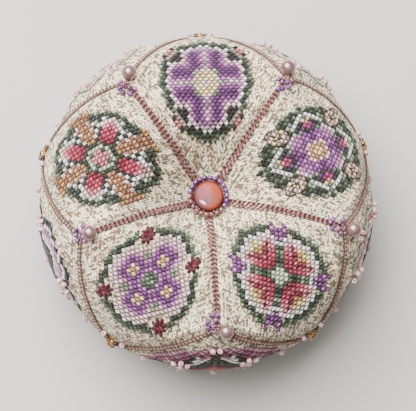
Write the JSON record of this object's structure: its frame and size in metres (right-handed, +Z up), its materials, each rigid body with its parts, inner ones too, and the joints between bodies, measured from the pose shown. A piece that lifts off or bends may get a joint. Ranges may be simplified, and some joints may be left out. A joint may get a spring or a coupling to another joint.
{
  "type": "biscornu pincushion",
  "caption": "Round stuffed linen pincushion sewn from small squares, embroidered with flower roundels, drawn in at a glass button, with beads at its corners.",
  "frame": {"origin": "middle of the bounding box at the base, on the plane that the cushion rests on", "axes": "+Z up through the button, -Y towards the corner between the two front top panels"},
  "size_m": [0.1128, 0.1156, 0.0622],
  "materials": {
    "linen": "cream evenweave linen, two threads to a cross-stitch",
    "salmon_glass": "polished salmon pink glass with paler bands",
    "purple_bead": "glossy purple glass seed beads",
    "stranded_cotton": "two strands of mercerised embroidery cotton, in many colours",
    "pearl": "rose pearl coating",
    "gold_bead": "gold-lined amber glass seed beads"
  },
  "bodies": {
    "root": {"cushion": "linen", "button": "salmon_glass", "button_beads": "purple_bead", "pearl_1": "pearl", "pearl_2": "pearl", "pearl_3": "pearl", "pearl_4": "pearl", "pearl_5": "pearl", "purple_beads_1_inner": "purple_bead", "purple_beads_1_outer": "purple_bead", "purple_beads_2_inner": "purple_bead", "purple_beads_2_outer": "purple_bead", "purple_beads_3_inner": "purple_bead", "purple_beads_3_outer": "purple_bead", "purple_beads_4_inner": "purple_bead", "purple_beads_4_outer": "purple_bead", "purple_beads_5_inner": "purple_bead", "purple_beads_5_outer": "purple_bead", "gold_beads_1": "gold_bead", "gold_beads_2": "gold_bead", "gold_beads_3": "gold_bead", "gold_beads_4": "gold_bead", "gold_beads_5": "gold_bead"}
  },
  "joints": []
}
